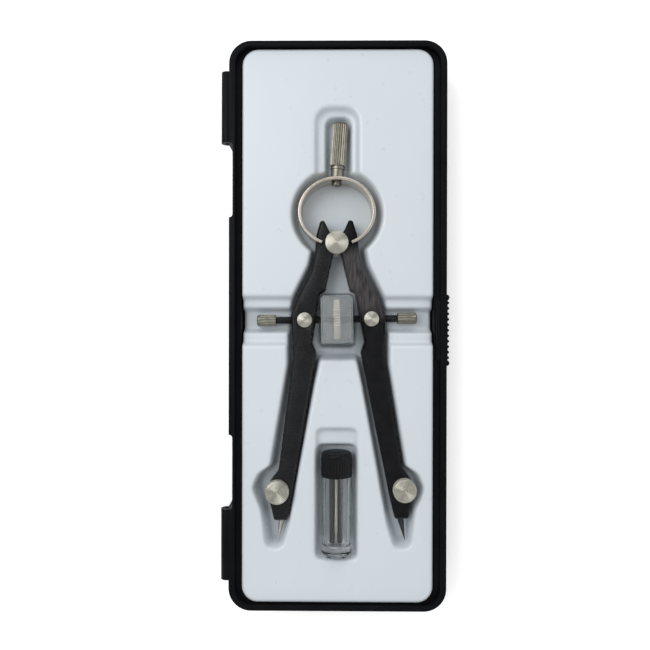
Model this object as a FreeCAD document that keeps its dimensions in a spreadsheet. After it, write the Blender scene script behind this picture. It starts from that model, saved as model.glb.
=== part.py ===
"""Spring bow compass with its hard plastic case, tray and spare-lead vial.

The frame's origin is the middle of the case's underside, +Y runs towards the
compass handle, +X to the thumb-grip side of the case, and +Z up out of the case.
All sizes are in millimetres.
"""
import FreeCAD, Part
import math
import os

import Sketcher
from FreeCAD import Placement, Rotation, Vector

DIMENSIONS = (
    # the case
    ("case_length", 190.0, "outside length, along Y"),
    ("case_width", 72.6, "outside width, along X, without the hinge barrels"),
    ("case_height", 16.0, "height of the rim above the table"),
    ("case_corner", 7.5, "radius of the case's corners in plan"),
    ("case_edge", 2.0, "radius along the bottom edge"),
    ("floor_thick", 1.6, "thickness of the case's floor"),
    ("rim_wide", 2.0, "width of the rim's top face on the long sides"),
    ("rim_end_wide", 1.5, "width of the rim's top face on the short sides"),
    ("ledge_height", 13.4, "height of the ledge inside the rim"),
    ("barrel_radius", 2.0, "outside radius of a hinge barrel"),
    ("barrel_proud", 2.8, "how far a barrel stands out of the side wall"),
    ("barrel_long", 23.6, "length of a hinge barrel"),
    ("barrel_near", 61.3, "distance of a barrel's inner end from the middle"),
    ("socket_radius", 0.75, "radius of the bore for the lid's hinge pin"),
    ("arm_recess", 1.2, "depth of the wall recess beside a barrel"),
    ("arm_long", 25.0, "length of that recess"),
    ("arm_base", 5.0, "height at which the barrel's root starts"),
    ("root_proud", 0.6, "how far a barrel's root stands out of the side wall"),
    ("grip_long", 22.0, "length of the ribbed thumb grip"),
    ("grip_middle", -1.3, "place of its middle along Y"),
    ("grip_proud", 0.6, "how far the grip's plate stands out"),
    ("grip_base", 3.6, "height of the grip's lower edge"),
    ("grip_tall", 10.8, "height of the grip"),
    ("rib_radius", 0.5, "radius of a grip rib"),
    ("bead_radius", 1.0, "radius of the bead at each end of the grip"),
    # the tray
    ("tray_play", 0.4, "play between the tray and the case's walls"),
    ("tray_length", 186.2, "length of the tray"),
    ("tray_width", 64.4, "width of the tray"),
    ("tray_corner", 5.5, "radius of the tray's corners"),
    ("sheet", 0.8, "thickness of the tray's sheet"),
    ("land", 14.6, "height of the tray's flat top"),
    ("pocket_floor", 7.2, "height of the floor under the compass and the vial"),
    ("guard_floor", 3.1, "height of the floor under the wheel guard"),
    ("cross_floor", 8.8, "height of the floor under the spindle"),
    ("slot_floor", 8.4, "height of the floor under the handle"),
    ("ledge_floor", 12.2, "height of the shallow ledges beside the deep pockets"),
    ("pocket_shift", 0.25, "offset of the leg pockets towards +X"),
    ("ring_pocket", 15.2, "radius of the round pocket for the spring"),
    ("ring_pocket_y", 37.7, "place of that pocket along the case"),
    ("handle_pocket_y", 45.0, "place where the handle's pockets start"),
    ("handle_pocket_end", 73.4, "place where the handle's ledge ends"),
    # the compass
    ("fulcrum_x", -0.3, "place of the fulcrum across the case"),
    ("fulcrum_y", 28.0, "place of the fulcrum along the case"),
    ("middle_height", 11.4, "height of the compass's middle plane"),
    ("compass_skew", 1.0, "how far the legs lie turned in the case, in degrees"),
    ("leg_thick", 6.4, "thickness of a leg"),
    ("leg_bevel", 0.7, "bevel along a leg's front and back edges"),
    ("seat_radius", 2.3, "radius of the seats that bear on the fulcrum roller"),
    ("roller_radius", 2.2, "radius of the fulcrum roller"),
    ("cap_radius", 3.85, "radius of the fulcrum's front cap"),
    ("cap_tall", 2.3, "height of the fulcrum's front cap"),
    ("back_cap_thick", 0.7, "thickness of the fulcrum's back cap and the retainers"),
    ("swing_gap", 0.1, "gap between the legs and what holds them on"),
    ("spring_wide", 13.0, "half the spring's width"),
    ("spring_tall", 11.7, "half the spring's height"),
    ("spring_middle", 10.4, "distance of the spring's middle above the fulcrum"),
    ("spring_thick", 1.0, "thickness of the spring strip"),
    ("spring_deep", 8.0, "width of the spring strip, front to back"),
    ("spring_end", 5.0, "distance of the strip's ends from the middle"),
    ("spring_play", 0.25, "play round the strip in the slots of the legs"),
    ("handle_lean", 3.9, "how far the handle leans, in degrees"),
    ("handle_start", 0.9, "distance of the handle's foot above the strip's middle"),
    ("neck_radius", 2.2, "radius of the handle's plain neck"),
    ("neck_long", 2.7, "length of the neck"),
    ("grip_radius", 2.65, "radius of the knurled grip"),
    ("grip_end", 19.4, "distance of the grip's top above the strip's middle"),
    ("rivet_radius", 1.1, "radius of the rivet that the handle turns on"),
    ("rivet_reach", 9.0, "reach of the rivet into the handle"),
    ("rivet_head_radius", 1.7, "radius of the rivet's head inside the spring"),
    ("rivet_head_tall", 1.2, "height of that head"),
    ("pivot_play", 0.06, "radial play of a part that turns in another"),
    ("trunnion_out", 11.2, "distance of a trunnion from the middle"),
    ("trunnion_down", 25.7, "distance of the trunnions below the fulcrum"),
    ("trunnion_radius", 2.2, "radius of a trunnion post"),
    ("button_radius", 2.5, "radius of a trunnion's domed head"),
    ("button_tall", 1.4, "height of that head"),
    ("spindle_shift", -0.4, "offset of the spindle, its knobs and its wheel along it"),
    ("thread_radius", 1.35, "radius of the adjusting spindle's thread"),
    ("spigot_radius", 0.9, "radius of the spindle's plain ends"),
    ("knob_near", 20.6, "distance of an end knob's inner face from the middle"),
    ("knob_far", 27.0, "distance of its outer face"),
    ("knob_radius", 1.95, "radius of an end knob"),
    ("wheel_radius", 6.8, "radius of the centre wheel"),
    ("wheel_thick", 2.2, "thickness of the centre wheel"),
    ("guard_wide", 10.6, "width of the wheel guard"),
    ("guard_long", 15.8, "length of the wheel guard"),
    ("guard_back", 7.4, "reach of the guard behind the middle plane"),
    ("guard_front", 7.9, "reach of the guard in front of the middle plane"),
    ("guard_cut", 1.0, "size of the guard's cut upper corners"),
    ("guard_wall", 0.7, "wall of the guard"),
    ("guard_play", 0.25, "play round the spindle in the guard's slots"),
    ("screw_out", 21.3, "distance of a thumb screw from the middle"),
    ("screw_down", 83.05, "distance of the thumb screws below the fulcrum"),
    ("screw_head_radius", 3.95, "radius of a thumb screw's head"),
    ("screw_head_tall", 2.6, "height of that head"),
    ("screw_shank_radius", 1.2, "radius of a thumb screw's shank"),
    ("tip_out", 21.6, "distance of the points from the middle"),
    ("tip_down", 101.2, "distance of the points below the fulcrum"),
    ("tip_radius", 1.0, "radius of the needle and of the lead"),
    ("tip_long", 22.0, "length of the needle and of the lead"),
    ("needle_taper", 7.0, "length of the needle's tapered point"),
    ("lead_taper", 6.5, "length of the lead's sharpened end"),
    ("slit", 0.5, "width of the clamping slit in a leg's foot"),
    # the vial
    ("vial_x", -0.25, "place of the vial across the case"),
    ("vial_bottom", -77.5, "place of the vial's closed end along Y"),
    ("vial_height", 12.55, "height of the vial's axis"),
    ("vial_radius", 5.1, "radius of the vial"),
    ("vial_wall", 0.8, "wall of the vial at its mouth"),
    ("vial_base", 3.2, "thickness of its closed end"),
    ("vial_bore_low", 3.7, "radius of its bore at the closed end"),
    ("vial_long", 33.5, "length of the tube"),
    ("cap_long", 8.0, "length of the cap"),
    ("cap_outer", 5.25, "radius of the cap"),
    ("cap_wall", 1.3, "thickness of the cap's end"),
    ("neck_drop", 4.5, "length of the tube's slimmer neck"),
    ("spare_radius", 1.0, "radius of a spare lead"),
    ("spare_long", 26.0, "length of a spare lead"),
    ("spare_needle_radius", 0.6, "radius of the spare needle"),
)
GRIP_RIBS = 11

doc = FreeCAD.newDocument("compass_set")
sheet = doc.addObject("Spreadsheet::Sheet", "Dimensions")


class Size:
    """A length that holds its number and the sheet expression that gives it."""

    def __init__(self, number, text=None):
        self.number = number
        self.text = text or repr(number)

    def join(self, sign, other, number):
        return Size(number, "(" + self.text + sign + other.text + ")")

    def __add__(self, other):
        other = size(other)
        return self.join(" + ", other, self.number + other.number)

    def __radd__(self, other):
        return size(other) + self

    def __sub__(self, other):
        other = size(other)
        return self.join(" - ", other, self.number - other.number)

    def __rsub__(self, other):
        return size(other) - self

    def __mul__(self, other):
        other = size(other)
        return self.join(" * ", other, self.number * other.number)

    def __rmul__(self, other):
        return size(other) * self

    def __truediv__(self, other):
        other = size(other)
        return self.join(" / ", other, self.number / other.number)

    def __neg__(self):
        return size(-1.0) * self


def size(value):
    """The value as a Size."""
    return value if isinstance(value, Size) else Size(float(value))


class Dims:
    """The sheet's cells, each as a Size."""


def fill_sheet():
    for row, (name, value, note) in enumerate(DIMENSIONS, start=1):
        sheet.set("A%d" % row, name)
        sheet.set("B%d" % row, str(value))
        sheet.setAlias("B%d" % row, name)
        sheet.set("C%d" % row, note)
        setattr(Dims, name, Size(value, "Dimensions." + name))
    doc.recompute()


fill_sheet()
d = Dims


def bind(thing, **sizes):
    """Bind properties of an object to sizes."""
    for name, value in sizes.items():
        value = size(value)
        setattr(thing, name, value.number)
        thing.setExpression(name, value.text)


# ---------------------------------------------------------------- sketches


def constrain(sketch, kind, *where, value):
    """Add a dimension to a sketch and bind it."""
    value = size(value)
    index = sketch.addConstraint(Sketcher.Constraint(kind, *where, value.number))
    sketch.setExpression("Constraints[%d]" % index, value.text)


def draw_polygon(sketch, corners):
    """Closed outline through corners (x, y) or (x, y, rounding radius)."""
    first = sketch.GeometryCount
    count = len(corners)
    spots = [Vector(size(c[0]).number, size(c[1]).number, 0) for c in corners]
    for i in range(count):
        sketch.addGeometry(Part.LineSegment(spots[i], spots[(i + 1) % count]))
    for i in range(count):
        after = first + (i + 1) % count
        sketch.addConstraint(Sketcher.Constraint("Coincident", first + i, 2, after, 1))
    for i, corner in enumerate(corners):
        constrain(sketch, "DistanceX", -1, 1, first + i, 1, value=corner[0])
        constrain(sketch, "DistanceY", -1, 1, first + i, 1, value=corner[1])
    for i, corner in enumerate(corners):
        if len(corner) > 2:
            sketch.fillet(first + i, 1, size(corner[2]).number, True, True)


def rectangle(x_low, y_low, x_high, y_high, radius=None):
    """Corners of a rectangle, rounded if a radius is given."""
    spots = ((x_low, y_low), (x_high, y_low), (x_high, y_high), (x_low, y_high))
    return [spot if radius is None else spot + (radius,) for spot in spots]


def centred(length, width, radius=None):
    """Corners of a rectangle about the origin: length along Y, width along X."""
    return rectangle(-width / 2, -length / 2, width / 2, length / 2, radius)


def loose_sketch(name, corners):
    """A sketch in the XY plane that belongs to no body."""
    sketch = doc.addObject("Sketcher::SketchObject", name)
    draw_polygon(sketch, corners)
    return sketch


def body_sketch(body, name, role):
    """A sketch on one of a body's own origin planes."""
    plane = [f for f in body.Origin.OriginFeatures if f.Role == role][0]
    sketch = body.newObject("Sketcher::SketchObject", name)
    sketch.AttachmentSupport = [(plane, "")]
    sketch.MapMode = "FlatFace"
    return sketch


# ---------------------------------------------------------------- solids


def turned(name, corners):
    """A solid turned about its own Z axis from corners (radius, height)."""
    body = doc.addObject("PartDesign::Body", name)
    sketch = body_sketch(body, name + "_profile", "XZ_Plane")
    draw_polygon(sketch, corners)
    spin = body.newObject("PartDesign::Revolution", name + "_turn")
    spin.Profile = sketch
    spin.ReferenceAxis = (sketch, ["V_Axis"])
    spin.Angle = 360
    sketch.Visibility = False
    return body


def slab(name, corners, low, high):
    """A plate with the given outline between two heights."""
    body = doc.addObject("PartDesign::Body", name)
    sketch = body_sketch(body, name + "_outline", "XY_Plane")
    draw_polygon(sketch, corners)
    offset = size(low)
    sketch.AttachmentOffset = Placement(Vector(0, 0, offset.number), Rotation())
    sketch.setExpression("AttachmentOffset.Base.z", offset.text)
    pad = body.newObject("PartDesign::Pad", name + "_pad")
    pad.Profile = sketch
    bind(pad, Length=size(high) - low)
    return body


def raised(name, source, low, high):
    """Extrude a loose sketch or offset outline between two heights."""
    solid = doc.addObject("Part::Extrusion", name)
    solid.Base = source
    solid.DirMode = "Custom"
    solid.Dir = Vector(0, 0, 1)
    solid.Solid = True
    bind(solid, LengthFwd=high, LengthRev=-size(low))
    return solid


def rod(name, radius, low, high, at=(0, 0, 0), along=(0, 0, 1)):
    """A cylinder on an axis through a point, from low to high along it."""
    solid = doc.addObject("Part::Cylinder", name)
    bind(solid, Radius=radius, Height=size(high) - low)
    turn = Rotation(Vector(0, 0, 1), Vector(*along))
    start = Vector(*[size(v).number for v in at]) + turn.multVec(Vector(0, 0, size(low).number))
    solid.Placement = Placement(start, turn)
    return solid


def block(name, low, high):
    """A box between two opposite corners."""
    solid = doc.addObject("Part::Box", name)
    bind(solid, Length=size(high[0]) - low[0], Width=size(high[1]) - low[1],
         Height=size(high[2]) - low[2])
    solid.Placement = Placement(Vector(*[size(v).number for v in low]), Rotation())
    for axis, value in zip("xyz", low):
        solid.setExpression("Placement.Base." + axis, size(value).text)
    return solid


def fuse(name, shapes):
    joined = doc.addObject("Part::MultiFuse", name)
    joined.Shapes = shapes
    return joined


def cut(name, base, tools):
    """Take tools away from a solid."""
    tool = tools[0] if len(tools) == 1 else fuse(name + "_tools", tools)
    result = doc.addObject("Part::Cut", name)
    result.Base = base
    result.Tool = tool
    return result


def common(name, first, second):
    result = doc.addObject("Part::Common", name)
    result.Base = first
    result.Tool = second
    return result


def edges_at_height(shape, height, tolerance=1e-4):
    """Names of the edges that lie wholly at one height."""
    names = []
    for index, edge in enumerate(shape.Edges, start=1):
        box = edge.BoundBox
        if abs(box.ZMin - height) < tolerance and abs(box.ZMax - height) < tolerance:
            names.append("Edge%d" % index)
    return names


def dress(body, kind, heights, **sizes):
    """Round or bevel all edges of a body's tip at the given heights."""
    doc.recompute()
    tip = body.Tip
    names = []
    for height in heights:
        names += edges_at_height(tip.Shape, size(height).number)
    feature = body.newObject("PartDesign::" + kind, body.Name + "_" + kind.lower())
    feature.Base = (tip, names)
    bind(feature, **sizes)
    return feature


NODES = {}


def keep(name, thing, place=None):
    """Keep a finished solid as the node of that name."""
    thing.Label = name
    if place is not None:
        thing.Placement = place
    NODES[name] = thing


def spot(x, y, z):
    return Vector(size(x).number, size(y).number, size(z).number)


MIDDLE = spot(d.fulcrum_x, d.fulcrum_y, d.middle_height)
HEAD = Placement(MIDDLE, Rotation())
LEGS = Placement(MIDDLE, Rotation(Vector(0, 0, 1), d.compass_skew.number))
ALONG_X = Rotation(Vector(0, 0, 1), Vector(1, 0, 0))
ALONG_Y = Rotation(Vector(0, 0, 1), Vector(0, 1, 0))
SIDES = (("left", -1.0), ("right", 1.0))


# ---------------------------------------------------------------- the case


def make_case_base():
    half_width = d.case_width / 2
    plan = centred(d.case_length, d.case_width, d.case_corner)
    outer = slab("case_outer", plan, 0, d.case_height)
    dress(outer, "Fillet", [0], Radius=d.case_edge)
    barrel_x = -(half_width + d.barrel_proud - d.barrel_radius)
    barrel_z = d.case_height - d.barrel_radius
    solids = [outer]
    tools = []
    for word, way in (("upper", 1.0), ("lower", -1.0)):
        near = d.barrel_near * way
        far = (d.barrel_near + d.barrel_long) * way
        low, high = (near, far) if way > 0 else (far, near)
        axis = (barrel_x, 0, barrel_z)
        solids.append(rod("barrel_" + word, d.barrel_radius, low, high, axis, (0, 1, 0)))
        solids.append(block("barrel_root_" + word, (-half_width - d.root_proud, low, d.arm_base),
                            (-half_width + 1.0, high, barrel_z)))
        tools.append(rod("socket_" + word, d.socket_radius, low - 1.0, high + 1.0, axis, (0, 1, 0)))
        arm_end = (d.barrel_near - d.arm_long) * way
        a_low, a_high = (arm_end, near) if way > 0 else (near, arm_end)
        recess = rectangle(-half_width - 5.0, a_low, -half_width + d.arm_recess, a_high,
                           d.arm_recess - 0.1)
        tools.append(slab("arm_recess_" + word, recess, -1.0, d.case_height + 1.0))
    low = d.grip_middle - d.grip_long / 2
    high = d.grip_middle + d.grip_long / 2
    top = d.grip_base + d.grip_tall
    solids.append(block("grip_plate", (half_width - 1.0, low, d.grip_base),
                        (half_width + d.grip_proud, high, top)))
    pitch = d.grip_long / (GRIP_RIBS + 1)
    for i in range(GRIP_RIBS):
        at = (half_width + d.grip_proud, low + pitch * (i + 1), 0)
        solids.append(rod("grip_rib_%d" % i, d.rib_radius, d.grip_base, top, at))
    for i, end in enumerate((low, high)):
        at = (half_width + d.grip_proud - 0.4, end, 0)
        solids.append(rod("grip_bead_%d" % i, d.bead_radius, d.grip_base, top, at))
    inside = centred(d.tray_length + d.tray_play, d.tray_width + 2 * d.tray_play,
                     d.tray_corner + 0.3)
    rabbet = centred(d.case_length - 2 * d.rim_end_wide, d.case_width - 2 * d.rim_wide,
                     d.case_corner - 1.6)
    tools.append(slab("case_inside", inside, d.floor_thick, d.case_height + 1.0))
    tools.append(slab("case_rabbet", rabbet, d.ledge_height, d.case_height + 1.0))
    hollow = cut("case_hollow", fuse("case_solid", solids), tools)
    latch = block("latch_block", (half_width - d.rim_wide - 1.2, low + 1.0, d.ledge_height - 0.5),
                  (half_width - d.rim_wide + 0.5, high - 1.0, d.case_height - 0.7))
    keep("case_base", fuse("case_base", [hollow, latch]))


# ---------------------------------------------------------------- the tray


def leg_pocket_outline():
    """Outline of the pocket that both legs share, from the right leg's side."""
    half = [
        (9.0, 34.0),
        (9.0, 25.0, 3.0),
        (9.9, 20.5, 6.0),
        (15.4, 9.2, 6.0),
        (16.9, 2.0, 6.0),
        (16.8, -13.0, 10.0),
        (22.5, -47.3, 1.5),
        (26.6, -50.2, 4.0),
        (28.3, -54.6, 3.0),
        (25.4, -62.0, 6.0),
        (24.0, -74.2, 2.2),
        (19.2, -74.2, 2.2),
        (16.9, -66.5, 8.0),
        (8.3, -19.5, 8.0),
        (6.4, -10.8, 1.5),
    ]
    right = [(d.pocket_shift + c[0],) + c[1:] for c in half]
    left = [(d.pocket_shift - c[0],) + c[1:] for c in half]
    return right + left[::-1]


def make_tray_insert():
    plan = centred(d.tray_length, d.tray_width, d.tray_corner)
    past = d.tray_width / 2 + 2.0
    low = d.handle_pocket_y
    high = d.handle_pocket_end
    handle_ledge = rectangle(d.fulcrum_x - 7.2, low, d.fulcrum_x + 7.3, high, 5.0)
    handle_slot = rectangle(d.fulcrum_x - 3.9, low, d.fulcrum_x + 4.9, high - 2.6, 3.0)
    pockets = [
        ("legs", leg_pocket_outline(), d.pocket_floor),
        ("handle_ledge", handle_ledge, d.ledge_floor),
        ("handle", handle_slot, d.slot_floor),
        ("cross_ledge", rectangle(-past, -6.2, past, 9.7), d.ledge_floor),
        ("cross", rectangle(-past, -2.4, past, 6.2), d.cross_floor),
        ("guard", rectangle(-6.6, -7.9, 6.4, 12.6, 1.5), d.guard_floor),
        ("notch", rectangle(-6.9, -45.0, 6.3, -34.6, 1.8), d.ledge_floor),
        ("vial", rectangle(-6.9, -78.1, 6.3, -40.4, 1.8), d.pocket_floor),
    ]
    solids = [slab("tray_plate", plan, d.land - d.sheet, d.land)]
    skirt = slab("skirt_out", plan, d.floor_thick, d.land)
    within = centred(d.tray_length - 2 * d.sheet, d.tray_width - 2 * d.sheet, d.tray_corner - d.sheet)
    gap = slab("skirt_in", within, d.floor_thick - 1.0, d.land + 1.0)
    solids.append(cut("tray_skirt", skirt, [gap]))
    tools = []
    for word, outline, floor in pockets:
        sketch = loose_sketch(word + "_pocket_outline", outline)
        grown = doc.addObject("Part::Offset2D", word + "_tub_outline")
        grown.Source = sketch
        bind(grown, Value=d.sheet)
        solids.append(raised(word + "_tub", grown, floor - d.sheet, d.land))
        tools.append(raised(word + "_pocket", sketch, floor, d.land + 1.0))
    centre = (d.fulcrum_x + 0.1, d.ring_pocket_y, 0)
    solids.append(rod("ring_tub", d.ring_pocket + d.sheet, d.pocket_floor - d.sheet, d.land, centre))
    tools.append(rod("ring_well", d.ring_pocket, d.pocket_floor, d.land + 1.0, centre))
    formed = cut("tray_formed", fuse("tray_solid", solids), tools)
    bounds = slab("tray_bounds", plan, 0, d.case_height)
    keep("tray_insert", common("tray_insert", formed, bounds))


# ---------------------------------------------------------------- the compass head


def spring_hoop(name, play, deep):
    """The elliptical hoop of the spring strip, grown by play on both faces."""
    shapes = []
    for word, grow in (("out", play), ("in", -d.spring_thick - play)):
        ellipse = doc.addObject("Part::Ellipse", name + "_" + word)
        bind(ellipse, MajorRadius=d.spring_wide + grow, MinorRadius=d.spring_tall + grow)
        ellipse.Placement = Placement(spot(0, d.spring_middle, 0), Rotation())
        shapes.append(raised(name + "_" + word + "_solid", ellipse, -deep / 2, deep / 2))
    return cut(name, shapes[0], [shapes[1]])


def make_head():
    handle = handle_place()
    hoop = spring_hoop("spring_hoop", Size(0.0), d.spring_deep)
    gap = block("spring_gap", (-d.spring_end, -8.0, -10.0), (d.spring_end, d.spring_middle, 10.0))
    hole = rod("spring_hole", d.rivet_radius + d.pivot_play, -3.0, 3.0)
    hole.Placement = handle.multiply(Placement(spot(0, 0, -3.0), Rotation()))
    keep("head_spring", cut("head_spring", hoop, [gap, hole]), HEAD)
    half = d.leg_thick / 2 + d.swing_gap
    keep("fulcrum_roller", rod("fulcrum_roller", d.roller_radius, -half, half))
    NODES["fulcrum_roller"].Placement = HEAD.multiply(NODES["fulcrum_roller"].Placement)
    dome = [
        (0, half),
        (d.cap_radius, half),
        (d.cap_radius, half + 0.5 * d.cap_tall, 0.9),
        (0.55 * d.cap_radius, half + 0.92 * d.cap_tall, 1.6),
        (0, half + d.cap_tall),
    ]
    keep("fulcrum_front_cap", turned("fulcrum_front_cap", dome), HEAD)
    back = [
        (0, -half - d.back_cap_thick),
        (d.cap_radius - 0.5, -half - d.back_cap_thick),
        (d.cap_radius, -half - 0.3),
        (d.cap_radius, -half),
        (0, -half),
    ]
    keep("fulcrum_back_cap", turned("fulcrum_back_cap", back), HEAD)
    head_top = -(d.spring_thick / 2 + 0.3)
    rivet = [
        (0, head_top - d.rivet_head_tall),
        (d.rivet_head_radius, head_top - d.rivet_head_tall, 0.4),
        (d.rivet_head_radius, head_top),
        (d.rivet_radius, head_top),
        (d.rivet_radius, d.rivet_reach),
        (0, d.rivet_reach),
    ]
    keep("handle_rivet", turned("handle_rivet", rivet), HEAD.multiply(handle))
    shoulder = d.handle_start + d.neck_long
    bore = d.rivet_radius + d.pivot_play
    grip = [
        (bore, d.handle_start),
        (d.neck_radius, d.handle_start),
        (d.neck_radius, shoulder),
        (d.grip_radius, shoulder + 0.3),
        (d.grip_radius, d.grip_end - 0.8, 0.6),
        (d.grip_radius - 0.7, d.grip_end),
        (0, d.grip_end),
        (0, d.rivet_reach + 0.3),
        (bore, d.rivet_reach + 0.3),
    ]
    keep("handle_grip", turned("handle_grip", grip), HEAD.multiply(handle))


def handle_place():
    """The handle's own frame: its Z axis leans to +X from the top of the spring."""
    lean = math.radians(d.handle_lean.number)
    axis = Vector(math.sin(lean), math.cos(lean), 0)
    top = spot(0, d.spring_middle + d.spring_tall - d.spring_thick / 2, 0)
    return Placement(top, Rotation(Vector(0, 0, 1), axis))


# ---------------------------------------------------------------- the legs


def leg_outline(side):
    """Outline of a leg about the fulcrum, for the side -1 (left) or +1 (right)."""
    right = [
        (1.3, 2.6),
        (2.6, 4.2),
        (4.2, 7.7, 0.8),
        (5.5, 7.3, 0.8),
        (7.1, 1.6, 3.0),
        (7.4, -4.0, 6.0),
        (8.6, -9.0, 6.0),
        (13.4, -18.0, 8.0),
        (15.9, -24.0, 5.0),
        (15.3, -38.0, 12.0),
        (20.9, -76.6, 3.0),
        (24.1, -80.6, 2.0),
        (23.9, -87.0, 3.0),
        (22.6, -93.1, 0.8),
        (18.1, -93.1, 0.8),
        (16.9, -87.5, 8.0),
        (7.5, -37.0, 2.0),
        (8.8, -33.6, 0.5),
        (6.7, -21.0, 3.0),
        (5.9, -17.0, 0.5),
        (4.1, -16.0, 1.0),
        (1.4, -4.0, 3.0),
        (0.9, -2.7),
    ]
    return [(corner[0] * side,) + corner[1:] for corner in right]


def tip_place(side):
    """Frame of the needle or lead: Z points along it, down to the point."""
    foot = Vector(side * 20.1, -93.1, 0)
    end = Vector(side * d.tip_out.number, -d.tip_down.number, 0)
    return Placement(end, Rotation(Vector(0, 0, 1), end - foot))


def make_leg(word, side):
    half = d.leg_thick / 2
    body = slab(word + "_leg_body", leg_outline(side), -half, half)
    dress(body, "Chamfer", [half, -half], Size=d.leg_bevel)
    trunnion = (d.trunnion_out * side, -d.trunnion_down, 0)
    screw = (d.screw_out * side, -d.screw_down, 0)
    reach = half + 2.0
    slot_near, slot_far = sorted((side * 3.0, side * 22.0))
    foot_near, foot_far = sorted((side * 14.0, side * 28.0))
    tip = rod(word + "_tip_bore", d.tip_radius + d.pivot_play, -d.tip_long - 4.6, 0)
    tip.Placement = tip_place(side).multiply(tip.Placement)
    hoop = spring_hoop(word + "_slot_hoop", d.spring_play, d.spring_deep)
    near, far = sorted((side * (d.spring_end.number - 0.35), side * 9.0))
    lower = block(word + "_slot_bound", (near, -4.0, -reach), (far, 5.0, reach))
    slot = common(word + "_spring_slot", hoop, lower)
    slot.Placement = Placement(Vector(0, 0, 0), Rotation(Vector(0, 0, 1), -d.compass_skew.number))
    tools = [
        rod(word + "_seat", d.seat_radius, -reach, reach),
        rod(word + "_trunnion_hole", d.trunnion_radius + d.pivot_play, -reach, reach, trunnion),
        block(word + "_spindle_slot", (slot_near, -d.trunnion_down - 2.4, -1.7),
              (slot_far, -d.trunnion_down + 2.4, 1.7)),
        rod(word + "_screw_hole", d.screw_shank_radius + d.pivot_play, -reach, reach, screw),
        block(word + "_slit", (foot_near, -98.0, -d.slit / 2), (foot_far, -78.0, d.slit / 2)),
        tip,
        slot,
    ]
    keep(word + "_leg", cut(word + "_leg", body, tools), LEGS)


def make_trunnion(word, side):
    half = d.leg_thick / 2 + d.swing_gap
    at = Placement(spot(d.trunnion_out * side, -d.trunnion_down, 0), Rotation())
    post = [
        (0, -half),
        (d.trunnion_radius, -half),
        (d.trunnion_radius, half),
        (d.button_radius, half),
        (d.button_radius, half + 0.45 * d.button_tall, 0.5),
        (0.6 * d.button_radius, half + 0.9 * d.button_tall, 1.2),
        (0, half + d.button_tall),
    ]
    solid = turned(word + "_trunnion_post", post)
    bore = rod(word + "_thread_hole", d.thread_radius + d.pivot_play, -5.0, 5.0, along=(1, 0, 0))
    keep(word + "_trunnion", cut(word + "_trunnion", solid, [bore]), LEGS.multiply(at))
    retainer = [
        (0, -half - d.back_cap_thick),
        (d.button_radius - 0.4, -half - d.back_cap_thick),
        (d.button_radius, -half - 0.3),
        (d.button_radius, -half),
        (0, -half),
    ]
    name = word + "_trunnion_retainer"
    keep(name, turned(name, retainer), LEGS.multiply(at))


def make_thumb_screw(word, side):
    front = d.leg_thick / 2 + 0.05
    at = Placement(spot(d.screw_out * side, -d.screw_down, 0), Rotation())
    shape = [
        (0, -d.leg_thick / 2 - 0.4),
        (d.screw_shank_radius, -d.leg_thick / 2 - 0.4),
        (d.screw_shank_radius, front),
        (d.screw_head_radius, front),
        (d.screw_head_radius, front + d.screw_head_tall - 0.3, 0.25),
        (d.screw_head_radius - 0.6, front + d.screw_head_tall, 0.4),
        (0, front + d.screw_head_tall - 0.3),
    ]
    name = word + "_thumb_screw"
    keep(name, turned(name, shape), LEGS.multiply(at))


def make_points():
    """The steel needle in the left leg and the sharpened lead in the right leg."""
    point = 0.06
    for name, side, taper in (("needle_point", -1.0, d.needle_taper), ("lead", 1.0, d.lead_taper)):
        outline = [
            (0, -d.tip_long),
            (d.tip_radius, -d.tip_long),
            (d.tip_radius, -taper),
            (point, 0),
            (0, 0),
        ]
        keep(name, turned(name, outline), LEGS.multiply(tip_place(side)))


# ---------------------------------------------------------------- the spindle


def make_spindle():
    place = LEGS.multiply(Placement(spot(d.spindle_shift, -d.trunnion_down, 0), ALONG_X))
    half_wheel = d.wheel_thick / 2
    for word, side in SIDES:
        way = Rotation() if side > 0 else Rotation(Vector(0, 1, 0), 180)
        turn = place.multiply(Placement(Vector(0, 0, 0), way))
        screw = [
            (0, 0.01),
            (d.spigot_radius, 0.01),
            (d.spigot_radius, half_wheel),
            (d.thread_radius, half_wheel),
            (d.thread_radius, d.knob_near - 0.05),
            (d.spigot_radius, d.knob_near - 0.05),
            (d.spigot_radius, d.knob_far - 1.3),
            (0, d.knob_far - 1.3),
        ]
        keep(word + "_screw_rod", turned(word + "_screw_rod", screw), turn)
        bore = d.spigot_radius + d.pivot_play
        knob = [
            (bore, d.knob_near),
            (d.knob_radius, d.knob_near),
            (d.knob_radius, d.knob_far - 0.4),
            (d.knob_radius - 0.4, d.knob_far),
            (0, d.knob_far),
            (0, d.knob_far - 1.2),
            (bore, d.knob_far - 1.2),
        ]
        keep(word + "_end_knob", turned(word + "_end_knob", knob), turn)
    wheel = [
        (d.spigot_radius, -half_wheel),
        (d.wheel_radius - 0.3, -half_wheel),
        (d.wheel_radius, -half_wheel + 0.3),
        (d.wheel_radius, half_wheel - 0.3),
        (d.wheel_radius - 0.3, half_wheel),
        (d.spigot_radius, half_wheel),
    ]
    keep("centre_wheel", turned("centre_wheel", wheel), place)


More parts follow.
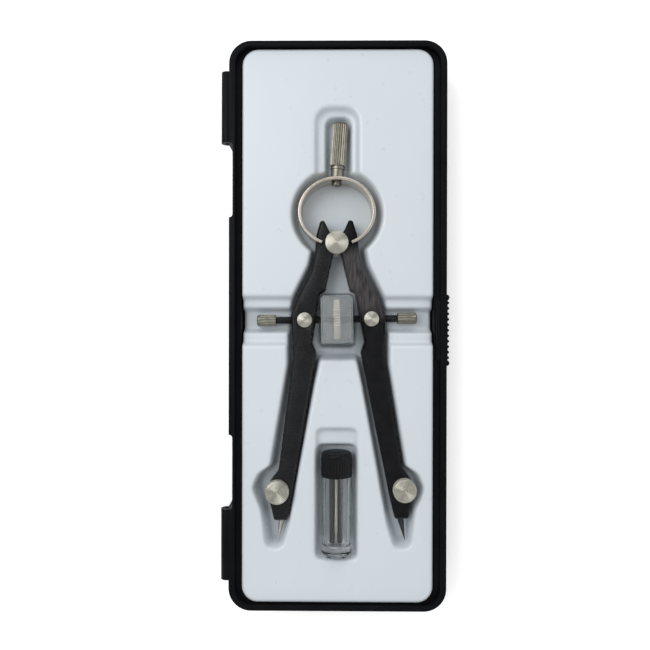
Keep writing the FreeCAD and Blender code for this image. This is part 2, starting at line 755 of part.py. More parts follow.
def make_wheel_guard():
    wide = d.guard_wide / 2
    top = d.guard_long / 2
    outline = [
        (-wide, -top, 0.3),
        (wide, -top, 0.3),
        (wide, top - d.guard_cut, 0.3),
        (wide - d.guard_cut, top, 0.3),
        (-wide + d.guard_cut, top, 0.3),
        (-wide, top - d.guard_cut, 0.3),
    ]
    outer = slab("guard_outer", outline, -d.guard_back, d.guard_front)
    dress(outer, "Fillet", [d.guard_front], Radius=0.5)
    room = centred(d.guard_long - 2 * d.guard_wall, d.guard_wide - 2 * d.guard_wall, d.guard_cut)
    inside = slab("guard_inner", room, -d.guard_back - 1.0, d.guard_front - d.guard_wall)
    half = d.thread_radius + d.guard_play
    slot = block("guard_slot", (-8.0, -half, -d.guard_back - 1.0), (8.0, half, half))
    place = LEGS.multiply(Placement(spot(d.spindle_shift, -d.trunnion_down, 0), Rotation()))
    keep("wheel_guard", cut("wheel_guard", outer, [inside, slot]), place)


# ---------------------------------------------------------------- the vial


def make_vial():
    place = Placement(spot(d.vial_x, d.vial_bottom, d.vial_height), ALONG_Y)
    mouth = d.vial_radius - d.vial_wall
    shoulder = d.vial_long - d.neck_drop
    tube = [
        (0, 0),
        (d.vial_radius - 0.5, 0),
        (d.vial_radius, 1.4, 1.0),
        (d.vial_radius, shoulder),
        (d.vial_radius - 0.45, shoulder),
        (d.vial_radius - 0.45, d.vial_long),
        (mouth, d.vial_long),
        (d.vial_bore_low, d.vial_base, 1.2),
        (0, d.vial_base),
    ]
    keep("vial_tube", turned("vial_tube", tube), place)
    cap_top = d.vial_long + d.cap_wall + 0.1
    sleeve = d.vial_radius - 0.35
    start = cap_top - d.cap_long
    cap = [
        (d.vial_radius + 0.03, start),
        (d.cap_outer, start),
        (d.cap_outer, cap_top, 0.7),
        (0, cap_top),
        (0, d.vial_long + 0.1),
        (sleeve, d.vial_long + 0.1),
        (sleeve, shoulder + 0.2),
        (d.vial_radius + 0.03, shoulder + 0.2),
    ]
    keep("vial_cap", turned("vial_cap", cap), place)
    low = d.vial_base + 0.3
    lead_drop = d.vial_bore_low - d.spare_radius - 0.9
    leads = []
    for i, across in enumerate((-1.5, 1.3)):
        at = (across, lead_drop, 0)
        leads.append(rod("spare_lead_%d" % i, d.spare_radius, low, low + d.spare_long, at))
    group = doc.addObject("Part::Compound", "spare_leads")
    group.Links = leads
    keep("spare_leads", group, place)
    at = (-0.1, lead_drop - 1.3, 0)
    needle = rod("spare_needle", d.spare_needle_radius, low, low + d.spare_long - 2.0, at)
    needle.Placement = place.multiply(needle.Placement)
    keep("spare_needle", needle)


# ---------------------------------------------------------------- build and write


def check(node, thing):
    """Stop with a plain message if a finished solid isn't sound."""
    shape = thing.Shape
    if shape.isNull() or not shape.isValid() or not shape.Solids:
        raise ValueError("the shape of " + node + " is not sound")


def main():
    make_case_base()
    make_tray_insert()
    make_head()
    for word, side in SIDES:
        make_leg(word, side)
        make_trunnion(word, side)
        make_thumb_screw(word, side)
    make_points()
    make_spindle()
    make_wheel_guard()
    make_vial()
    doc.recompute()
    for thing in doc.Objects:
        if "Invalid" in thing.State or "Error" in thing.State:
            raise ValueError(thing.Name + " failed to recompute")
    for node, thing in NODES.items():
        check(node, thing)
    os.makedirs("parts", exist_ok=True)
    for node, thing in NODES.items():
        thing.Shape.exportStep("parts/" + node + ".step")
        box = thing.Shape.BoundBox
        print("%-26s solids %d volume %9.2f z %.2f..%.2f" % (
            node, len(thing.Shape.Solids), thing.Shape.Volume, box.ZMin, box.ZMax))


main()
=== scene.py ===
"""The looks of the spring bow compass set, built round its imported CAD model."""

import math

import bmesh
import bpy
import numpy as np
from mathutils import Matrix, Vector


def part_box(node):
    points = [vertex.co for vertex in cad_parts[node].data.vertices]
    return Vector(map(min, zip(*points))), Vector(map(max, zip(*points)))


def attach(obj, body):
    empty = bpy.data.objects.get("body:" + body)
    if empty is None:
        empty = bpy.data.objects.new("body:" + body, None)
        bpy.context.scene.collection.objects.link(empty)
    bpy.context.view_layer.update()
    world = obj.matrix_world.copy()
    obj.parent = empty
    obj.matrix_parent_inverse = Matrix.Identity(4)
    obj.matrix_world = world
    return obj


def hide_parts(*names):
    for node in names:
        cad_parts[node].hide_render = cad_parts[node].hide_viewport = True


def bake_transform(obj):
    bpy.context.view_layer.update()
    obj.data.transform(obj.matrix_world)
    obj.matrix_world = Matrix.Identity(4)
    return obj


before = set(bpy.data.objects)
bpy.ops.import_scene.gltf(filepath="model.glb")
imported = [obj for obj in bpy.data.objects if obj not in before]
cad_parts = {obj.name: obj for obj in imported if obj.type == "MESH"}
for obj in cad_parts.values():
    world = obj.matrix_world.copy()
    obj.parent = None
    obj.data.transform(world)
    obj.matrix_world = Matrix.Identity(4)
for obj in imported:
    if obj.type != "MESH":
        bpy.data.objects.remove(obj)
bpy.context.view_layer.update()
MM = 0.001

# Sizes in millimetres, in the frame of the CAD model.
FULCRUM = (-0.3, 28.0, 11.4)
SKEW = math.radians(1.0)  # how far the legs lie turned in the case
LEAN = math.radians(3.9)  # how far the handle leans
SEAT = 3.3  # from the compass's middle plane to the caps in front and behind
BACK_THICK = 0.7
SPRING_MIDDLE, SPRING_WIDE, SPRING_TALL = 10.4, 12.5, 11.2
TRUNNION_OUT, TRUNNION_DOWN = 11.2, 25.7
SPINDLE_SHIFT = -0.4
SCREW_OUT, SCREW_DOWN = 21.3, 83.05
FOOT_OUT, FOOT_DOWN = 20.1, 93.1
TIP_OUT, TIP_DOWN = 21.6, 101.2
KNOB_NEAR, KNOB_FAR = 20.6, 27.0
VIAL_NECK = 4.5
TRAY_WIDTH, TRAY_LENGTH, TRAY_CORNER = 64.4, 186.2, 5.5
TRAY_EDGE = 1.2  # radius of the tray's rounded rim
TRAY_STEP = 0.45
TRAY_UNDERSIDE = 1.75
LAND = 14.6  # height of the tray's flat top
LEDGE, POCKET, SLOT, CHANNEL, GUARD_PIT = 12.2, 7.2, 8.4, 9.0, 3.1  # heights of its floors
RING_POCKET, RING_POCKET_Y = 14.9, 37.7
SHARP_EDGE = math.radians(28)


# ---------------------------------------------------------------- meshes


def unit(v):
    return v / np.linalg.norm(v)


def rounded(corners, closed=True, turn=math.radians(9)):
    """Points of an outline whose corners (x, y, radius) are rounded by arcs."""
    points = []
    count = len(corners)
    for i, corner in enumerate(corners):
        here = np.array(corner[:2], float)
        if len(corner) < 3 or (not closed and i in (0, count - 1)):
            points.append(here)
            continue
        before = np.array(corners[i - 1][:2], float) - here
        after = np.array(corners[(i + 1) % count][:2], float) - here
        u, v = unit(before), unit(after)
        half = math.acos(np.clip(u @ v, -1, 1)) / 2
        reach = min(corner[2] / math.tan(half), 0.49 * min(np.linalg.norm(before), np.linalg.norm(after)))
        radius = reach * math.tan(half)
        centre = here + unit(u + v) * radius / math.sin(half)
        first = here + u * reach - centre
        last = here + v * reach - centre
        start = math.atan2(first[1], first[0])
        sweep = (math.atan2(last[1], last[0]) - start + math.pi) % (2 * math.pi) - math.pi
        steps = max(2, math.ceil(abs(sweep) / turn))
        for k in range(steps + 1):
            angle = start + sweep * k / steps
            points.append(centre + radius * np.array([math.cos(angle), math.sin(angle)]))
    return np.array(points)


def piece(name, points, faces, place=Matrix(), sharp=35):
    """A closed mesh object from points in millimetres, with smooth shading between sharp edges."""
    mesh = bpy.data.meshes.new(name)
    mesh.from_pydata([tuple(p) for p in np.asarray(points, float) * MM], [], [tuple(f) for f in faces])
    bm = bmesh.new()
    bm.from_mesh(mesh)
    bmesh.ops.recalc_face_normals(bm, faces=bm.faces)
    bm.to_mesh(mesh)
    bm.free()
    mesh.shade_smooth()
    mesh.set_sharp_from_angle(angle=math.radians(sharp))
    obj = bpy.data.objects.new(name, mesh)
    bpy.context.scene.collection.objects.link(obj)
    obj.matrix_world = place
    return obj


def lathe(name, corners, segments=72, place=Matrix(), ring=False, relief=None, fine=None, sharp=35):
    """A solid turned about its own Z axis from (radius, height, rounding).
    relief(angle, radius, height) is how far the surface stands in or out there."""
    profile = rounded(corners, closed=ring)
    if fine:
        profile = finer(profile, fine, ring)
    points, rows = [], []
    angles = np.arange(segments) * 2 * math.pi / segments
    for radius, height in profile:
        if radius < 1e-6:
            rows.append([len(points)] * segments)
            points.append((0, 0, height))
            continue
        rows.append(list(range(len(points), len(points) + segments)))
        for angle in angles:
            r = radius + (relief(angle, radius, height) if relief else 0)
            points.append((r * math.cos(angle), r * math.sin(angle), height))
    faces = []
    pairs = list(zip(rows, rows[1:] + rows[:1])) if ring else list(zip(rows, rows[1:]))
    for low, high in pairs:
        for i in range(segments):
            j = (i + 1) % segments
            loop = list(dict.fromkeys((low[i], low[j], high[j], high[i])))
            if len(loop) > 2:
                faces.append(loop)
    return piece(name, points, faces, place, sharp)


def finer(profile, longest, closed):
    """The profile with points added, so that no edge is longer than longest."""
    made = []
    count = len(profile)
    for i in range(count if closed else count - 1):
        a, b = profile[i], profile[(i + 1) % count]
        steps = max(1, math.ceil(np.linalg.norm(b - a) / longest))
        made += [a + (b - a) * k / steps for k in range(steps)]
    if not closed:
        made.append(profile[-1])
    return np.array(made)


def domed(radius, low, edge, high, steps=14):
    """Corners of a round head from low to edge at its rim, then a shallow dome up to high."""
    corners = [(0, low), (radius, low), (radius, edge - 0.12), (radius - 0.04, edge)]
    for k in range(1, steps + 1):
        t = 1 - k / steps
        corners.append(((radius - 0.12) * t, high - (high - edge - 0.08) * t * t))
    return corners


def knurl(teeth, depth, low, high, near):
    """Relief of straight teeth between two heights, on the surface near a radius."""

    def relief(angle, radius, height):
        if radius < near or not low <= height <= high:
            return 0
        return -depth * abs(math.cos(teeth * angle / 2)) ** 0.8

    return relief


def thread(name, radius, depth, pitch, low, high, hand, place):
    """A threaded rod along its own Z axis."""
    segments = 36
    heights = np.arange(low, high + 1e-6, pitch / 8)
    points, faces = [(0, 0, low)], []
    for height in heights:
        edge = min(height - low, high - height) / (0.6 * pitch)
        for i in range(segments):
            phase = (height / pitch + hand * i / segments) % 1
            crest = min(1, 2.6 * abs(phase - 0.5)) * min(1, max(0, edge))
            r = radius - depth * (1 - crest)
            angle = 2 * math.pi * i / segments
            points.append((r * math.cos(angle), r * math.sin(angle), height))
    points.append((0, 0, high))
    last = len(points) - 1
    for i in range(segments):
        j = (i + 1) % segments
        faces.append((0, 1 + i, 1 + j))
        for k in range(len(heights) - 1):
            base = 1 + k * segments
            faces.append((base + i, base + j, base + segments + j, base + segments + i))
        top = last - segments
        faces.append((top + i, top + j, last))
    return piece(name, points, faces, place, 60)


def refined(node, width, segments=2):
    """A copy of a CAD node's mesh whose sharp edges are rounded off by width."""
    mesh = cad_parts[node].data.copy()
    bm = bmesh.new()
    bm.from_mesh(mesh)
    bmesh.ops.remove_doubles(bm, verts=bm.verts, dist=2e-6)
    bmesh.ops.dissolve_limit(bm, angle_limit=math.radians(0.4), verts=bm.verts, edges=bm.edges)
    sharp = [e for e in bm.edges if len(e.link_faces) == 2 and e.calc_face_angle(0) > SHARP_EDGE]
    bmesh.ops.bevel(bm, geom=sharp, offset=width * MM, offset_type="OFFSET", segments=segments,
                    profile=0.5, affect="EDGES", clamp_overlap=True)
    bmesh.ops.triangulate(bm, faces=[f for f in bm.faces if len(f.verts) > 4])
    bm.to_mesh(mesh)
    bm.free()
    if mesh.has_custom_normals:
        mesh.attributes.remove(mesh.attributes["custom_normal"])
    mesh.shade_smooth()
    mesh.set_sharp_from_angle(angle=math.radians(40))
    obj = bpy.data.objects.new(node + "_detail", mesh)
    bpy.context.scene.collection.objects.link(obj)
    return obj


def done(obj, body, look, slot, *nodes):
    """Give a piece its material, and let it ride on a body in place of CAD nodes."""
    obj.data.materials.clear()
    obj.data.materials.append(look)
    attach(obj, body)
    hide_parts(*nodes)
    return obj


def at(x, y, z):
    """The shift to a place in millimetres."""
    return Matrix.Translation(Vector((x, y, z)) * MM)


def axis_to(x, y, z):
    """The turn that takes +Z to a direction."""
    return Vector((0, 0, 1)).rotation_difference(Vector((x, y, z))).to_matrix().to_4x4()


MIDDLE = at(*FULCRUM)
LEGS = MIDDLE @ Matrix.Rotation(SKEW, 4, "Z")
ALONG_X = axis_to(1, 0, 0)
ALONG_Y = axis_to(0, 1, 0)
SIDES = ((-1, "left"), (1, "right"))


# ---------------------------------------------------------------- materials


class Nodes:
    """A node tree with short ways to add and join nodes."""

    def __init__(self, name):
        self.look = bpy.data.materials.new(name)
        self.look.use_nodes = True
        self.tree = self.look.node_tree
        self.shader = next(n for n in self.tree.nodes if n.type == "BSDF_PRINCIPLED")

    def add(self, kind, **values):
        node = self.tree.nodes.new("ShaderNode" + kind)
        for name, value in values.items():
            setattr(node, name, value)
        return node

    def join(self, source, target):
        self.tree.links.new(source, target)

    def coordinates(self, stretch=(1, 1, 1)):
        """Object coordinates in millimetres."""
        where = self.add("TexCoord")
        scaled = self.add("Mapping")
        scaled.inputs["Scale"].default_value = [s / MM for s in stretch]
        self.join(where.outputs["Object"], scaled.inputs["Vector"])
        return scaled.outputs["Vector"]

    def rings(self, fine):
        """Coordinates that change only with the distance from the object's Z axis."""
        parts = self.add("SeparateXYZ")
        self.join(self.coordinates(), parts.inputs[0])
        flat = self.add("CombineXYZ")
        self.join(parts.outputs["X"], flat.inputs["X"])
        self.join(parts.outputs["Y"], flat.inputs["Y"])
        distance = self.add("VectorMath", operation="LENGTH")
        self.join(flat.outputs[0], distance.inputs[0])
        grown = self.add("Math", operation="MULTIPLY")
        self.join(distance.outputs["Value"], grown.inputs[0])
        grown.inputs[1].default_value = fine
        along = self.add("Math", operation="MULTIPLY")
        self.join(parts.outputs["Z"], along.inputs[0])
        along.inputs[1].default_value = fine
        result = self.add("CombineXYZ")
        self.join(grown.outputs[0], result.inputs["X"])
        self.join(along.outputs[0], result.inputs["Y"])
        return result.outputs[0]

    def noise(self, where, scale, detail):
        made = self.add("TexNoise")
        made.inputs["Scale"].default_value = scale
        made.inputs["Detail"].default_value = detail
        self.join(where, made.inputs["Vector"])
        return made.outputs["Fac"]

    def ramp(self, source, low, high, start, end):
        """source from low..high mapped to start..end, clamped."""
        made = self.add("MapRange")
        for socket, value in zip(("From Min", "From Max", "To Min", "To Max"), (low, high, start, end)):
            made.inputs[socket].default_value = value
        self.join(source, made.inputs["Value"])
        return made.outputs["Result"]

    def blend(self, factor, first, second):
        made = self.add("Mix", data_type="RGBA")
        self.join(factor, made.inputs[0])
        for socket, value in ((made.inputs[6], first), (made.inputs[7], second)):
            if isinstance(value, bpy.types.NodeSocket):
                self.join(value, socket)
            else:
                socket.default_value = (*value, 1)
        return made.outputs[2]

    def bump(self, height, strength, depth):
        made = self.add("Bump")
        made.inputs["Strength"].default_value = strength
        made.inputs["Distance"].default_value = depth * MM
        self.join(height, made.inputs["Height"])
        return made.outputs["Normal"]


def finish_look(nodes, **sockets):
    """The material, with constants set on the shader's own sockets."""
    for name, value in sockets.items():
        nodes.shader.inputs[name.replace("_", " ")].default_value = value
    return nodes.look


def grainy(name, dark, pale, rough, spread=0.06, patch=0.12, grain=4.0, bump=0.25, depth=0.02,
           stretch=(1, 1, 1), scuffs=0.0, **sockets):
    """A finish with soft patches of colour, a fine grain, and scuffs if asked."""
    n = Nodes(name)
    where = n.coordinates(stretch)
    patches = n.ramp(n.noise(where, patch, 4), 0.3, 0.7, 0, 1)
    colour = n.blend(patches, dark, pale)
    fine = n.noise(where, grain, 2)
    roughness = n.ramp(n.noise(where, patch * 6, 5), 0.3, 0.7, rough - spread, rough + spread)
    if scuffs:
        worn = n.ramp(n.noise(n.coordinates((0.25, 1.4, 1.0)), 2.2, 8), 0.58, 0.74, 0, scuffs)
        colour = n.blend(worn, colour, [min(1, c * 2 + 0.05) for c in pale])
    n.join(colour, n.shader.inputs["Base Color"])
    n.join(roughness, n.shader.inputs["Roughness"])
    n.join(n.bump(fine, bump, depth), n.shader.inputs["Normal"])
    return finish_look(n, **sockets)


def lathed(name, dark, pale, rough, spread=0.06, fine=9.0, bump=0.3, depth=0.01, **sockets):
    """Metal turned about the object's Z axis, with its tool marks."""
    n = Nodes(name)
    marks = n.noise(n.rings(fine), 1.0, 4)
    stains = n.noise(n.coordinates(), 0.5, 4)
    colour = n.blend(n.ramp(stains, 0.35, 0.65, 0, 1), dark, pale)
    n.join(colour, n.shader.inputs["Base Color"])
    n.join(n.ramp(marks, 0.3, 0.7, rough - spread, rough + spread), n.shader.inputs["Roughness"])
    n.join(n.bump(marks, bump, depth), n.shader.inputs["Normal"])
    round_about = n.add("Tangent", direction_type="RADIAL", axis="Z")
    n.join(round_about.outputs[0], n.shader.inputs["Tangent"])
    return finish_look(n, Metallic=1.0, **sockets)


def wear_and_sheen_paint():
    """The right leg's paint, rubbed to a dull grey between its pivot and its trunnion; the lighter grey
    there is part wear, part painted sheen.
    """
    n = Nodes("paint_wear_and_sheen")
    where = n.coordinates()
    parts = n.add("SeparateXYZ")
    n.join(where, parts.inputs[0])
    place = n.add("Math", operation="MULTIPLY")
    n.join(n.ramp(parts.outputs["Y"], 1.0, 7.0, 0, 1), place.inputs[0])
    n.join(n.ramp(parts.outputs["Y"], 27.0, 24.0, 0, 1), place.inputs[1])
    streaks = n.ramp(n.noise(n.coordinates((2.2, 0.35, 1.0)), 0.7, 6), 0.32, 0.62, 0.25, 1)
    worn = n.add("Math", operation="MULTIPLY")
    n.join(place.outputs[0], worn.inputs[0])
    n.join(streaks, worn.inputs[1])
    patches = n.ramp(n.noise(where, 0.3, 4), 0.3, 0.7, 0, 1)
    paint = n.blend(patches, (0.0030, 0.0033, 0.0040), (0.007, 0.007, 0.008))
    # painted sheen: the rubbed streaks are blended to a lighter grey that stands in for reflected light as
    # well as for rubbed paint
    n.join(n.blend(worn.outputs[0], paint, (0.062, 0.056, 0.058)), n.shader.inputs["Base Color"])
    n.join(n.ramp(worn.outputs[0], 0, 1, 0.27, 0.42), n.shader.inputs["Roughness"])
    n.join(n.bump(n.noise(where, 0.9, 2), 0.12, 0.006), n.shader.inputs["Normal"])
    return finish_look(n, Specular_IOR_Level=0.14)


case_black = grainy("case_black", (0.0025, 0.0028, 0.0036), (0.0045, 0.0050, 0.0060), 0.40,
                    grain=6.0, bump=0.3, depth=0.012, Specular_IOR_Level=0.06)
tray_white = grainy("tray_white", (0.540, 0.590, 0.628), (0.552, 0.600, 0.638), 0.30, spread=0.03,
                    patch=0.05, grain=0.12, bump=0.06, depth=0.02)
paint_black = grainy("paint_black", (0.0040, 0.0045, 0.0055), (0.009, 0.009, 0.010), 0.27, patch=0.3,
                     grain=0.9, bump=0.12, depth=0.006, scuffs=0.12, Specular_IOR_Level=0.24)
# the right leg's paint: rubbed wear, with a painted sheen in its lighter grey
paint_wear_and_sheen = wear_and_sheen_paint()
bright_steel = lathed("bright_steel", (0.42, 0.412, 0.355), (0.53, 0.518, 0.452), 0.46, fine=5.0, bump=0.5,
                      depth=0.012, Anisotropic=0.9, Anisotropic_Rotation=0.25)
nickel = lathed("nickel", (0.165, 0.161, 0.132), (0.25, 0.242, 0.200), 0.34)
spring_nickel = grainy("spring_nickel", (0.50, 0.45, 0.38), (0.66, 0.61, 0.54), 0.24, spread=0.06,
                       grain=3.0, stretch=(1, 1, 6), bump=0.2, depth=0.01, Metallic=1.0)
black_steel = grainy("black_steel", (0.014, 0.014, 0.015), (0.040, 0.040, 0.041), 0.26,
                     patch=0.8, grain=5.0, bump=0.2, Metallic=0.7)
wheel_nickel = lathed("wheel_nickel", (0.66, 0.58, 0.46), (0.76, 0.69, 0.58), 0.34)
frosted = grainy("frosted", (0.78, 0.81, 0.82), (0.86, 0.89, 0.90), 0.22, spread=0.03, grain=0.7, bump=0.08,
                 depth=0.02, Transmission_Weight=0.88, IOR=1.4)
clear = grainy("clear", (0.93, 0.94, 0.95), (0.97, 0.98, 0.98), 0.05, spread=0.02, grain=0.8,
               bump=0.06, depth=0.02, Transmission_Weight=1.0, IOR=1.49)
cap_black = grainy("cap_black", (0.003, 0.003, 0.0035), (0.005, 0.005, 0.006), 0.30, grain=5.0, bump=0.15,
                   Specular_IOR_Level=0.15)
graphite = grainy("graphite", (0.012, 0.012, 0.013), (0.030, 0.030, 0.032), 0.42, patch=0.8, grain=6.0,
                  bump=0.35, Specular_IOR_Level=0.3)


# ---------------------------------------------------------------- the tray


def box_distance(x, y, low_x, low_y, high_x, high_y, radius=0.0):
    """Distance to a rounded rectangle, below zero inside it."""
    dx = np.abs(x - (low_x + high_x) / 2) - (high_x - low_x) / 2 + radius
    dy = np.abs(y - (low_y + high_y) / 2) - (high_y - low_y) / 2 + radius
    outside = np.hypot(np.maximum(dx, 0), np.maximum(dy, 0))
    return outside + np.minimum(np.maximum(dx, dy), 0) - radius


def outline_distance(x, y, outline):
    """Distance to a closed outline, below zero inside it."""
    best = np.full(x.shape, 1e9)
    inside = np.zeros(x.shape, bool)
    for (ax, ay), (bx, by) in zip(outline, np.roll(outline, -1, axis=0)):
        ex, ey = bx - ax, by - ay
        t = np.clip(((x - ax) * ex + (y - ay) * ey) / (ex * ex + ey * ey), 0, 1)
        best = np.minimum(best, np.hypot(x - ax - t * ex, y - ay - t * ey))
        if ey:
            crosses = (ay > y) != (by > y)
            inside ^= crosses & (x < ax + (y - ay) * ex / ey)
    return np.where(inside, -best, best)


LEG_POCKET = (
    (9.0, 34.0), (9.0, 25.0, 3.0), (9.9, 20.5, 6.0), (15.4, 9.2, 6.0), (16.9, 2.0, 6.0),
    (16.8, -13.0, 10.0), (22.5, -47.3, 1.5), (26.6, -50.2, 4.0), (28.3, -54.6, 3.0),
    (25.4, -62.0, 6.0), (24.0, -74.2, 2.2), (19.2, -74.2, 2.2), (16.9, -66.5, 8.0),
    (8.3, -19.5, 8.0), (6.4, -10.8, 1.5),
)
POCKET_SHIFT = 0.25


def dip(height, distance, floor, lip, draft):
    """height lowered to floor inside a pocket: it starts to fall lip outside the outline
    and reaches the floor draft inside it."""
    t = np.clip((lip - distance) / (lip + draft), 0, 1)
    t = t * t * (3 - 2 * t)
    return np.minimum(height, LAND + (floor - LAND) * t)


def tray_height(x, y):
    """Height of the tray's surface, from its pockets' bounds, floors, lips and drafts."""
    right = [(POCKET_SHIFT + c[0],) + c[1:] for c in LEG_POCKET]
    left = [(POCKET_SHIFT - c[0],) + c[1:] for c in LEG_POCKET]
    legs = rounded(right + left[::-1])
    past = TRAY_WIDTH / 2 + 3
    ring = np.hypot(x - FULCRUM[0] - 0.1, y - RING_POCKET_Y) - RING_POCKET
    height = np.full(x.shape, LAND)
    height = dip(height, np.minimum(outline_distance(x, y, legs), ring), POCKET, 0.6, 1.0)
    rectangles = (
        ((-7.5, 45.0, 7.0, 73.4, 5.0), LEDGE, 0.5, 1.0),
        ((-4.2, 45.0, 4.6, 70.8, 3.0), SLOT, 0.3, 0.8),
        ((-past, -6.2, past, 9.7), LEDGE, 0.6, 1.0),
        ((-past, -2.4, past, 6.2), CHANNEL, 0.7, 1.2),
        ((-6.4, -7.2, 6.2, 11.0, 1.2), GUARD_PIT, 0.2, 0.5),
        ((-6.9, -45.0, 6.3, -34.6, 1.8), LEDGE, 0.5, 0.8),
        ((-6.9, -78.1, 6.3, -40.4, 1.8), POCKET, 0.4, 0.7),
    )
    for bounds, floor, lip, draft in rectangles:
        height = dip(height, box_distance(x, y, *bounds), floor, lip, draft)
    return height


def softened(height, sigma):
    """height smoothed by a Gaussian of sigma grid steps."""
    reach = int(math.ceil(3 * sigma))
    kernel = np.exp(-0.5 * (np.arange(-reach, reach + 1) / sigma) ** 2)
    kernel /= kernel.sum()
    for axis in (0, 1):
        padded = np.pad(height, [(reach, reach) if a == axis else (0, 0) for a in (0, 1)], mode="edge")
        height = np.apply_along_axis(lambda line: np.convolve(line, kernel, "valid"), axis, padded)
    return height


def make_tray():
    """The formed tray: its surface as a height field, a rounded rim and a closed underside."""
    half_x, half_y = TRAY_WIDTH / 2 - TRAY_EDGE, TRAY_LENGTH / 2 - TRAY_EDGE
    corner = TRAY_CORNER - TRAY_EDGE
    xs = np.linspace(-half_x, half_x, int(2 * half_x / TRAY_STEP) + 1)
    ys = np.linspace(-half_y, half_y, int(2 * half_y / TRAY_STEP) + 1)
    x, y = np.meshgrid(xs, ys)
    z = softened(tray_height(x, y), 0.9)
    core_x = np.clip(x, -half_x + corner, half_x - corner)
    core_y = np.clip(y, -half_y + corner, half_y - corner)
    reach = np.hypot(x - core_x, y - core_y)
    outside = reach > corner
    pull = np.where(outside, corner / np.maximum(reach, 1e-9), 1)
    x, y = core_x + (x - core_x) * pull, core_y + (y - core_y) * pull
    rows, columns = x.shape
    points = np.stack([x, y, z], -1).reshape(-1, 3)
    faces = []
    for i in range(rows - 1):
        for j in range(columns - 1):
            if not outside[i:i + 2, j:j + 2].all():
                first = i * columns + j
                faces.append((first, first + 1, first + columns + 1, first + columns))
    mesh = bpy.data.meshes.new("tray_formed")
    mesh.from_pydata([tuple(p * MM) for p in points], [], faces)
    bm = bmesh.new()
    bm.from_mesh(mesh)
    bmesh.ops.delete(bm, geom=[v for v in bm.verts if not v.link_faces], context="VERTS")
    loop = [e for e in bm.edges if e.is_boundary]
    steps = 4
    for k in range(1, steps + 2):
        made = bmesh.ops.extrude_edge_only(bm, edges=loop)["geom"]
        loop = [g for g in made if isinstance(g, bmesh.types.BMEdge)]
        angle = min(k, steps) * math.pi / 2 / steps
        before = (k - 1) * math.pi / 2 / steps
        for v in {v for e in loop for v in e.verts}:
            px, py = v.co.x / MM, v.co.y / MM
            cx = min(max(px, -half_x + corner), half_x - corner)
            cy = min(max(py, -half_y + corner), half_y - corner)
            way = Vector((px - cx, py - cy)).normalized()
            out = corner + TRAY_EDGE * math.sin(angle)
            v.co.x, v.co.y = (cx + way.x * out) * MM, (cy + way.y * out) * MM
            if k > steps:
                v.co.z = TRAY_UNDERSIDE * MM
            else:
                v.co.z -= TRAY_EDGE * (math.cos(before) - math.cos(angle)) * MM
    bmesh.ops.edgeloop_fill(bm, edges=loop)
    bmesh.ops.recalc_face_normals(bm, faces=bm.faces)
    bm.to_mesh(mesh)
    bm.free()
    mesh.shade_smooth()
    mesh.set_sharp_from_angle(angle=math.radians(60))
    obj = bpy.data.objects.new("tray_formed", mesh)
    bpy.context.scene.collection.objects.link(obj)
    done(obj, "case", tray_white, "tray_plastic", "tray_insert")


# ---------------------------------------------------------------- the compass


def make_spring():
    """The spring strip as two half hoops."""
    wide, tall, middle = SPRING_WIDE, SPRING_TALL, SPRING_MIDDLE
    thick, deep, end = 1.0, 8.0, 5.0
    section = rounded([(-thick / 2, -deep / 2, 0.22), (thick / 2, -deep / 2, 0.22),
                       (thick / 2, deep / 2, 0.22), (-thick / 2, deep / 2, 0.22)])
    lowest = -math.acos(end / wide)
    for side, word in SIDES:
        points, faces = [], []
        angles = np.linspace(math.pi / 2, lowest, 64)
        for angle in angles:
            centre = np.array([wide * math.cos(angle), tall * math.sin(angle)])
            out = unit(np.array([math.cos(angle) / wide, math.sin(angle) / tall]))
            for across, z in section:
                u, v = centre + out * across
                points.append((side * u, v + middle, z))
        n = len(section)
        for k in range(len(angles) - 1):
            for i in range(n):
                j = (i + 1) % n
                faces.append((k * n + i, k * n + j, (k + 1) * n + j, (k + 1) * n + i))
        faces.append(tuple(range(n)))
        faces.append(tuple(range((len(angles) - 1) * n, len(angles) * n)))
        obj = piece("spring_" + word, points, faces, MIDDLE)
        obj.data.materials.append(spring_nickel)
        x, y, z = FULCRUM
        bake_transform(obj)
        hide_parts("head_spring")


def handle_place():
    """The handle's own frame: its Z axis leans from the top of the spring."""
    top = at(0, SPRING_MIDDLE + SPRING_TALL, 0)
    return MIDDLE @ top @ axis_to(math.sin(LEAN), math.cos(LEAN), 0)


def make_head():
    """The fulcrum, its caps, the rivet and the knurled handle."""
    half = SEAT
    dome = domed(3.85, half, half + 1.25, half + 2.3)
    done(lathe("fulcrum_dome", dome, 96, MIDDLE), "head", bright_steel, "bright_steel", "fulcrum_front_cap")
    back = [(0, -half - BACK_THICK), (3.3, -half - BACK_THICK, 0.3), (3.85, -half - 0.35, 0.2),
            (3.85, -half, 0.1), (0, -half)]
    done(lathe("fulcrum_back", back, 72, MIDDLE), "head", bright_steel, "bright_steel", "fulcrum_back_cap")
    roller = [(0, -half), (2.2, -half), (2.2, half), (0, half)]
    done(lathe("fulcrum_pin", roller, 48, MIDDLE), "head", bright_steel, "bright_steel", "fulcrum_roller")
    rivet = [(0, -2.0), (1.7, -2.0, 0.45), (1.7, -0.8, 0.1), (1.1, -0.8), (1.1, 9.0), (0, 9.0)]
    done(lathe("rivet_turned", rivet, 48, handle_place()), "head", nickel, "nickel", "handle_rivet")
    grip = [(1.16, 0.9), (2.2, 0.9, 0.15), (2.2, 3.5), (2.5, 3.6, 0.12), (2.5, 4.05, 0.12), (2.28, 4.15),
            (2.28, 4.45), (2.65, 4.75, 0.15), (2.65, 18.75, 0.3), (2.2, 19.3, 0.3), (1.6, 19.4), (0, 19.4),
            (0, 9.3), (1.16, 9.3)]
    teeth = 24
    done(lathe("handle_knurled", grip, teeth * 8, handle_place(), fine=1.2,
               relief=knurl(teeth, 0.26, 4.8, 18.9, 2.6)),
         "handle", nickel, "nickel", "handle_grip")


